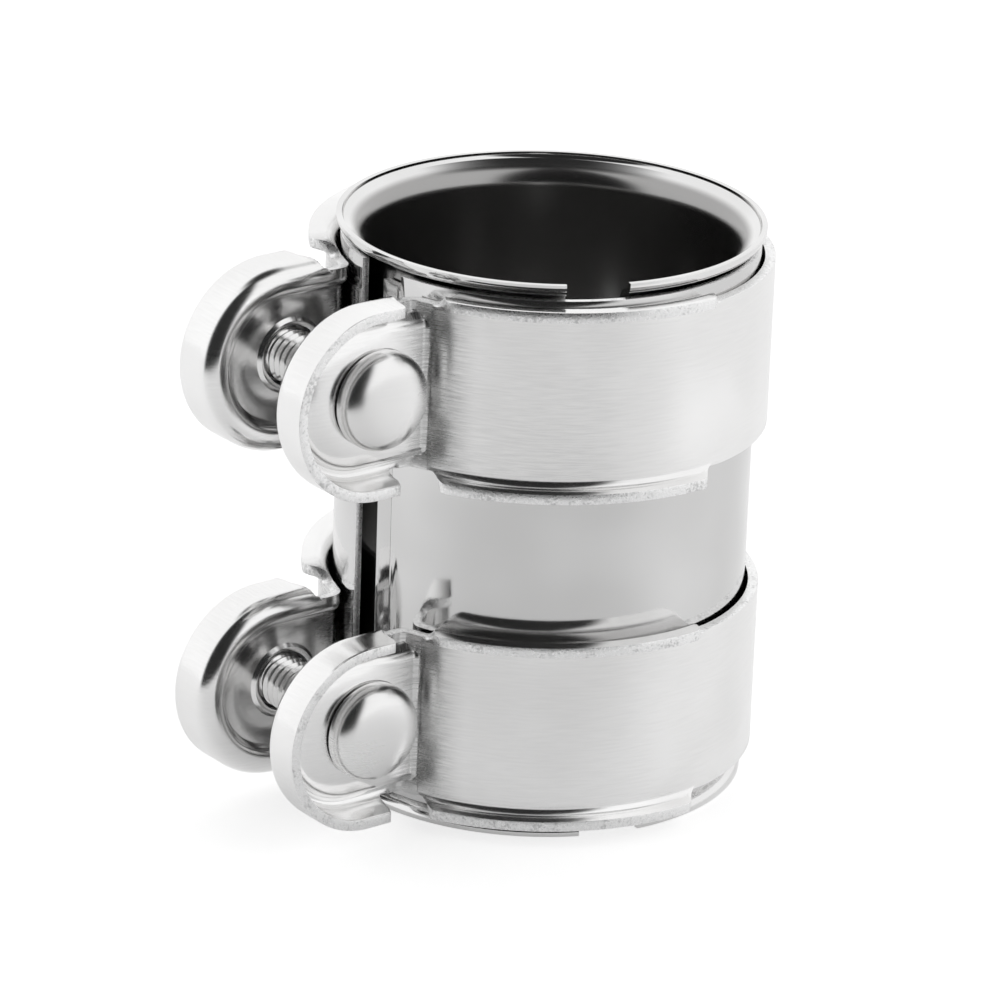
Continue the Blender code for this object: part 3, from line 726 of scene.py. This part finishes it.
# The table, half its width in metres. In mirrors it ends at this distance, where the room is dark.
TABLE_HALF = 3
TABLE_GREY = 0.62
TABLE_REACH = 0.26
TABLE_FADE = 0.08
PAST_TABLE_GREY = 0.02

# How bright the table looks to the camera, and in a mirror near the camera's side and behind the part.
# Between those two it goes by the cosine of the turn from the camera's azimuth.
TABLE_SEEN = 0.72
TABLE_FRONT = 0.33
TABLE_BACK = 0.5
FRONT_COSINE = 0.95
BACK_COSINE = 0.2

# Noises: stretch along three axes, scale, detail and roughness.
SCRATCHES = ((1, 14, 1), 230, 3.0, 0.7)
CLOUDS = ((1, 1, 1), 60, 1.0, 0.5)
TORN = ((1, 1, 1), 2400, 4.0, 0.65)
PATCHES = ((1, 1, 1), 300, 2.0, 0.5)

# Noise values between which a scratch and a cloud go from nothing to full.
SCRATCH_SPAN = (0.25, 0.75)
CLOUD_SPAN = (0.3, 0.7)

# The steels: tone, roughness, and how strongly each is brushed.
STEELS = {
    "liner": (0.84, 0.1, 0.15),
    "sleeve": (0.72, 0.09, 0.2),
    "band": (0.95, 0.15, 0.8),
    "bolt": (0.93, 0.24, 0.3),
    "washer": (0.66, 0.3, 0.3),
    "nut": (0.7, 0.25, 0.3),
    "thread": (0.9, 0.14, 0.1),
}

# What clouds make of a steel: share of its tone with warmth, twice, and two shares of its roughness.
CLOUD_TONES = ((0.94, 0.004), (1.04, 0.002))
CLOUD_ROUGHNESS = (0.9, 1.1)

# What full scratches make of a fully brushed steel. The bump's depth is in metres.
SCRATCH_SHARE = 0.1
SCRATCH_TONE = 0.55
SCRATCH_ROUGHER = 0.08
SCRATCH_BUMP = 0.07
SCRATCH_DEPTH = 0.00006

# Inner sides of liners and sleeve, with painted shade for the dark inside the tube: from full to nothing
# between these radii, in metres, a grey with warmth.
INSIDE_SPAN = (0.0274, 0.0287)
INSIDE_SHADE_GREY = (0.38, 0.01)
INSIDE_ROUGHER = 0.12

# The band's tight fold, darkened with painted shade and made rougher: its distances from the pipe's axis, the
# metres from it at which it begins and is full, and how far scratches break it up.
FOLD_X = BAND_MID_R * math.sin(NECK_LEAN)
FOLD_U = BAND_MID_R * math.cos(NECK_LEAN)
FOLD_SPAN = (0.0075, 0.002)
FOLD_BROKEN = (0.2, 0.8, 0.25, 0.75)
FOLD_SHADE_TONE = 0.45
FOLD_ROUGHER = 0.15

# The sheet's cut edge: its tone and the darker share of it where torn, how much the two noises count and
# between which sums it goes from torn to bright, roughness by the finer noise, and the bump.
CUT_TONE = 0.96
TORN_TONE = 0.7
TORN_SHARE = 0.6
PATCHES_SHARE = 0.4
BRIGHT_SPAN = (0.36, 0.5)
CUT_ROUGHNESS = (0.3, 0.7, 0.45, 0.22)
CUT_BUMP = 0.22
CUT_DEPTH = 0.0002

# Where the strokes turn on a band: past the neck and within this distance sideways lies the ear, and those of
# its faces whose normal has less than this along X are its skirt's.
EAR_WITHIN_X = 16
SKIRT_NORMAL_X = 0.6


def make_camera():
    """The scene's camera, which looks at the clamp from the photograph's side."""
    a, e, r = AZIMUTH, ELEVATION, ROLL
    back = Vector((math.sin(a) * math.cos(e), -math.cos(a) * math.cos(e), math.sin(e)))
    right = Vector((math.cos(a), math.sin(a), 0))
    up = back.cross(right)
    cam_right = right * math.cos(r) + up * math.sin(r)
    cam_up = up * math.cos(r) - right * math.sin(r)
    target = Vector((0, AXIS_Y, TOTAL_HEIGHT - TARGET_BELOW_RIM))
    place = (target + back * DISTANCE - cam_right * SIDE_SHIFT - cam_up * UP_SHIFT) * MM
    data = bpy.data.cameras.new("camera")
    data.lens = LENS
    data.sensor_width = SENSOR_WIDTH
    data.clip_start, data.clip_end = CLIP
    cam = bpy.data.objects.new("camera", data)
    turn = Matrix((cam_right, cam_up, back)).transposed().to_4x4()
    cam.matrix_world = Matrix.Translation(place) @ turn
    scene.collection.objects.link(cam)
    scene.camera = cam


def add(tree, kind, inputs, **settings):
    """A new node with these settings. Each input, by name or number, gets a value or a node's output."""
    node = tree.nodes.new(kind)
    for key, value in settings.items():
        setattr(node, key, value)
    for socket, source in inputs.items():
        if isinstance(source, (int, float, tuple)):
            node.inputs[socket].default_value = source
        else:
            tree.links.new(source, node.inputs[socket])
    return node


def maths(tree, operation, *values):
    """This operation on one or two values."""
    return add(tree, "ShaderNodeMath", dict(enumerate(values)), operation=operation).outputs[0]


def vector_maths(tree, operation, *values):
    """The node of this operation on one or two vectors."""
    return add(tree, "ShaderNodeVectorMath", dict(enumerate(values)), operation=operation)


def hypotenuse(tree, a, b):
    """Distance of a place, from its two distances at right angles."""
    squares = [maths(tree, "MULTIPLY", value, value) for value in (a, b)]
    return maths(tree, "SQRT", maths(tree, "ADD", *squares))


def ramp(tree, value, first, last, low=0.0, high=1.0):
    """Smooth step from low to high as value goes from first to last."""
    inputs = {"Value": value, "From Min": first, "From Max": last, "To Min": low, "To Max": high}
    return add(tree, "ShaderNodeMapRange", inputs, interpolation_type="SMOOTHSTEP").outputs[0]


def noise(tree, where, stretch, scale, detail, roughness):
    """Fractal noise at this place, with the place stretched by three factors first."""
    mapped = add(tree, "ShaderNodeMapping", {"Vector": where, "Scale": stretch}).outputs[0]
    inputs = {"Vector": mapped, "Scale": scale, "Detail": detail, "Roughness": roughness}
    return add(tree, "ShaderNodeTexNoise", inputs).outputs[0]


def mixed(tree, share, a, b):
    """Colour a where share is 0 and colour b where it is 1."""
    return add(tree, "ShaderNodeMix", {0: share, 6: a, 7: b}, data_type="RGBA").outputs[2]


def bumpy(tree, height, strength, depth):
    """Normal of a surface with bumps of this depth in metres."""
    return add(tree, "ShaderNodeBump", {"Height": height, "Strength": strength, "Distance": depth}).outputs[0]


def grey(value, warmth=0.0):
    """Colour with this value, a little redder and less blue by its warmth."""
    return (value * (1 + warmth), value, value * (1 - warmth), 1)


def material(name, constants):
    """A new material, its node tree and its shader's inputs, which get these constants."""
    mat = bpy.data.materials.new(name)
    mat.use_nodes = True
    inputs = mat.node_tree.nodes["Principled BSDF"].inputs
    for socket, value in constants.items():
        inputs[socket].default_value = value
    return mat, mat.node_tree, inputs


def object_place(tree):
    """Output with the place on the object, in metres."""
    return add(tree, "ShaderNodeTexCoord", {}).outputs["Object"]


def with_painted_shade(tree, colour, rough, share, shade_colour, rougher):
    """This colour and roughness, changed by a share to a darker colour of painted shade and a rougher
    surface.
    """
    colour = mixed(tree, share, colour, shade_colour)
    return colour, maths(tree, "ADD", rough, maths(tree, "MULTIPLY", share, rougher))


def steel(kind, tone, roughness, brush):
    """Sheet steel: fine scratches along the strip, faint clouds in tone and gloss, and painted shade inside
    liners and sleeve and round the band's fold.
    """
    mat, tree, inputs = material(kind + "_steel", {"Metallic": 1})
    strip = add(tree, "ShaderNodeUVMap", {}, uv_map="strip").outputs[0]
    place = object_place(tree)
    scratches = noise(tree, strip, *SCRATCHES)
    clouds = noise(tree, place, *CLOUDS)
    lines = ramp(tree, scratches, *SCRATCH_SPAN)
    tones = [grey(min(1.0, tone * share), warmth) for share, warmth in CLOUD_TONES]
    colour = mixed(tree, ramp(tree, clouds, *CLOUD_SPAN), *tones)
    scratched = maths(tree, "MULTIPLY", lines, SCRATCH_SHARE * brush)
    colour = mixed(tree, scratched, colour, grey(tone * SCRATCH_TONE))
    rough = ramp(tree, clouds, *CLOUD_SPAN, *[roughness * share for share in CLOUD_ROUGHNESS])
    rough = maths(tree, "ADD", rough, maths(tree, "MULTIPLY", lines, SCRATCH_ROUGHER * brush))
    # Painted shade: the inner sides of liners and sleeve get a darker, rougher grey, for the dark inside the
    # tube.
    if kind in ("liner", "sleeve"):
        axes = add(tree, "ShaderNodeSeparateXYZ", {0: place}).outputs
        radius = hypotenuse(tree, axes[0], maths(tree, "SUBTRACT", axes[1], AXIS_Y * MM))
        inside = ramp(tree, radius, *INSIDE_SPAN, 1.0, 0.0)
        colour, rough = with_painted_shade(tree, colour, rough, inside, grey(*INSIDE_SHADE_GREY), INSIDE_ROUGHER)
    # Painted shade round the band's tight fold, broken up by the scratches, with a rougher surface there.
    if kind == "band":
        axes = add(tree, "ShaderNodeSeparateXYZ", {0: place}).outputs
        sideways = maths(tree, "SUBTRACT", maths(tree, "ABSOLUTE", axes[0]), FOLD_X * MM)
        outwards = maths(tree, "SUBTRACT", (AXIS_Y - FOLD_U) * MM, axes[1])
        near_fold = ramp(tree, hypotenuse(tree, sideways, outwards), *FOLD_SPAN)
        fold_shade = maths(tree, "MULTIPLY", near_fold, ramp(tree, scratches, *FOLD_BROKEN))
        colour, rough = with_painted_shade(tree, colour, rough, fold_shade, grey(tone * FOLD_SHADE_TONE), FOLD_ROUGHER)
    tree.links.new(colour, inputs["Base Color"])
    tree.links.new(rough, inputs["Roughness"])
    tree.links.new(bumpy(tree, scratches, SCRATCH_BUMP * brush, SCRATCH_DEPTH), inputs["Normal"])
    return mat


def cut_edge():
    """The cut edge of stamped sheet: bright, with torn patches that are darker and rougher."""
    mat, tree, inputs = material("cut_edge", {"Metallic": 1})
    place = object_place(tree)
    torn = noise(tree, place, *TORN)
    patches = noise(tree, place, *PATCHES)
    shares = [
        maths(tree, "MULTIPLY", torn, TORN_SHARE),
        maths(tree, "MULTIPLY", patches, PATCHES_SHARE),
    ]
    bright = ramp(tree, maths(tree, "ADD", *shares), *BRIGHT_SPAN)
    colour = mixed(tree, bright, grey(CUT_TONE * TORN_TONE), grey(CUT_TONE))
    tree.links.new(colour, inputs["Base Color"])
    tree.links.new(ramp(tree, torn, *CUT_ROUGHNESS), inputs["Roughness"])
    tree.links.new(bumpy(tree, torn, CUT_BUMP, CUT_DEPTH), inputs["Normal"])
    return mat


def direction(turn_deg, elevation_deg):
    """Unit vector with this turn from the camera's azimuth, to the right of the picture."""
    a, e = AZIMUTH + math.radians(turn_deg), math.radians(elevation_deg)
    return (math.sin(a) * math.cos(e), -math.cos(a) * math.cos(e), math.sin(e))


def facing(tree, place, turn_deg):
    """Cosine of the compass angle between this place and a turn from the camera's azimuth."""
    flat = vector_maths(tree, "MULTIPLY", place, (1.0, 1.0, 0.0)).outputs[0]
    unit = vector_maths(tree, "NORMALIZE", flat).outputs[0]
    return vector_maths(tree, "DOT_PRODUCT", unit, direction(turn_deg, 0)).outputs["Value"]


def dark_side(tree, place):
    """1 where this place lies on the dark side of the room, fading to 0 at its edges."""
    turn_deg, half_deg = DARK
    edges = [math.cos(math.radians(half_deg + more)) for more in (DARK_FADE_DEG, -DARK_FADE_DEG)]
    return ramp(tree, facing(tree, place, turn_deg), *edges)


def table_material():
    """Pale matt table. Only in mirrors does it end, on the camera's side."""
    mat, tree, inputs = material("floor", {"Roughness": 0.9, "Specular IOR Level": 0.0})
    rays = add(tree, "ShaderNodeLightPath", {}).outputs
    place = object_place(tree)
    reach = vector_maths(tree, "LENGTH", place).outputs["Value"]
    past = ramp(tree, reach, TABLE_REACH, TABLE_REACH + TABLE_FADE)
    past = maths(tree, "MULTIPLY", past, dark_side(tree, place))
    past = maths(tree, "MULTIPLY", past, rays["Is Glossy Ray"])
    tree.links.new(mixed(tree, past, grey(TABLE_GREY), grey(PAST_TABLE_GREY)), inputs["Base Color"])
    mirrored = ramp(tree, facing(tree, place, 0.0), FRONT_COSINE, BACK_COSINE, TABLE_FRONT, TABLE_BACK)
    mirrored = maths(tree, "MULTIPLY", mirrored, maths(tree, "SUBTRACT", rays["Is Glossy Ray"], past))
    glow = maths(tree, "ADD", mirrored, maths(tree, "MULTIPLY", rays["Is Camera Ray"], TABLE_SEEN))
    light = add(tree, "ShaderNodeEmission", {"Color": ROOM_WHITE, "Strength": glow}).outputs[0]
    matt = tree.nodes["Principled BSDF"].outputs[0]
    both = add(tree, "ShaderNodeAddShader", {0: matt, 1: light}).outputs[0]
    tree.links.new(both, tree.nodes["Material Output"].inputs["Surface"])
    return mat


def table():
    """The plain table that the clamp stands on, which is part of the stage."""
    mesh = bpy.data.meshes.new("floor")
    h = TABLE_HALF
    mesh.from_pydata([(-h, -h, 0), (h, -h, 0), (h, h, 0), (-h, h, 0)], [], [(0, 1, 2, 3)])
    mesh.materials.append(table_material())
    obj = bpy.data.objects.new("floor", mesh)
    scene.collection.objects.link(obj)


def room():
    """Surroundings that the camera sees white and that are dark on its side and in the ceiling's middle."""
    world = bpy.data.worlds.new("world")
    world.use_nodes = True
    tree = world.node_tree
    way = add(tree, "ShaderNodeTexCoord", {}).outputs["Generated"]
    over = vector_maths(tree, "DOT_PRODUCT", way, direction(*CEILING_AT)).outputs["Value"]
    dark = maths(tree, "MAXIMUM", dark_side(tree, way), ramp(tree, over, *CEILING_COSINES))
    seen = add(tree, "ShaderNodeLightPath", {}).outputs["Is Camera Ray"]
    dark = maths(tree, "MULTIPLY", dark, maths(tree, "SUBTRACT", 1.0, seen))
    colour = mixed(tree, dark, ROOM_WHITE, ROOM_BLACK)
    tree.links.new(colour, tree.nodes["Background"].inputs["Color"])
    scene.world = world


def lay_strip(obj, kind, middle):
    """UV layer in metres: length along the rolled or stamped strip, and width across it.

    On an ear's skirt the strokes go along its depth instead, as the press left them. middle is the height of
    the band's middle.
    """
    radius = {"band": BAND_MID_R, "sleeve": SLEEVE_MID_R}.get(kind, LINER_MID_R)
    mesh = obj.data
    layer = mesh.uv_layers.new(name="strip")
    for face in mesh.polygons:
        x, u = face.center.x, AXIS_Y * MM - face.center.y
        on_ear = kind == "band" and u > NECK_U * MM and abs(x) < EAR_WITHIN_X * MM
        on_skirt = on_ear and abs(face.normal.x) < SKIRT_NORMAL_X
        for index in face.loop_indices:
            x, y, z = mesh.vertices[mesh.loops[index].vertex_index].co
            u = AXIS_Y * MM - y
            if on_skirt:
                turn = math.atan2(z - middle * MM, u - EAR_CENTRE_U * MM)
                layer.data[index].uv = (x, turn * EAR_OUTER_R * MM)
            elif on_ear:
                layer.data[index].uv = ((NECK_LEAN * BAND_MID_R + NECK_U) * MM - u, z)
            else:
                layer.data[index].uv = (abs(math.atan2(x, u)) * radius * MM, z)


make_camera()
steels = {kind: steel(kind, *look) for kind, look in STEELS.items()}
cut_steel = cut_edge()
pieces = [
    liner("lower_liner", 0.0, False, LOWER_LINER_SLOT_AT),
    liner("upper_liner", TOTAL_HEIGHT, True, UPPER_LINER_SLOT_AT),
    sleeve(),
]
for level, z in BAND_AT.items():
    pieces.append(band(level + "_band", z))
    pieces.append(bolt(level + "_bolt", z))
    pieces.append(washer(level + "_washer", z, level + "_washer_slider"))
    pieces.append(nut(level + "_nut", z, level + "_nut_turner"))
for piece in pieces:
    level, kind = piece.name.split("_")[0], piece.name.split("_")[-2]
    piece.data.materials.append(steels[kind])
    piece.data.materials.append(steels["thread"] if kind == "bolt" else cut_steel)
    lay_strip(piece, kind, BAND_AT.get(level))
table()
room()
scene.view_settings.view_transform = "Standard"
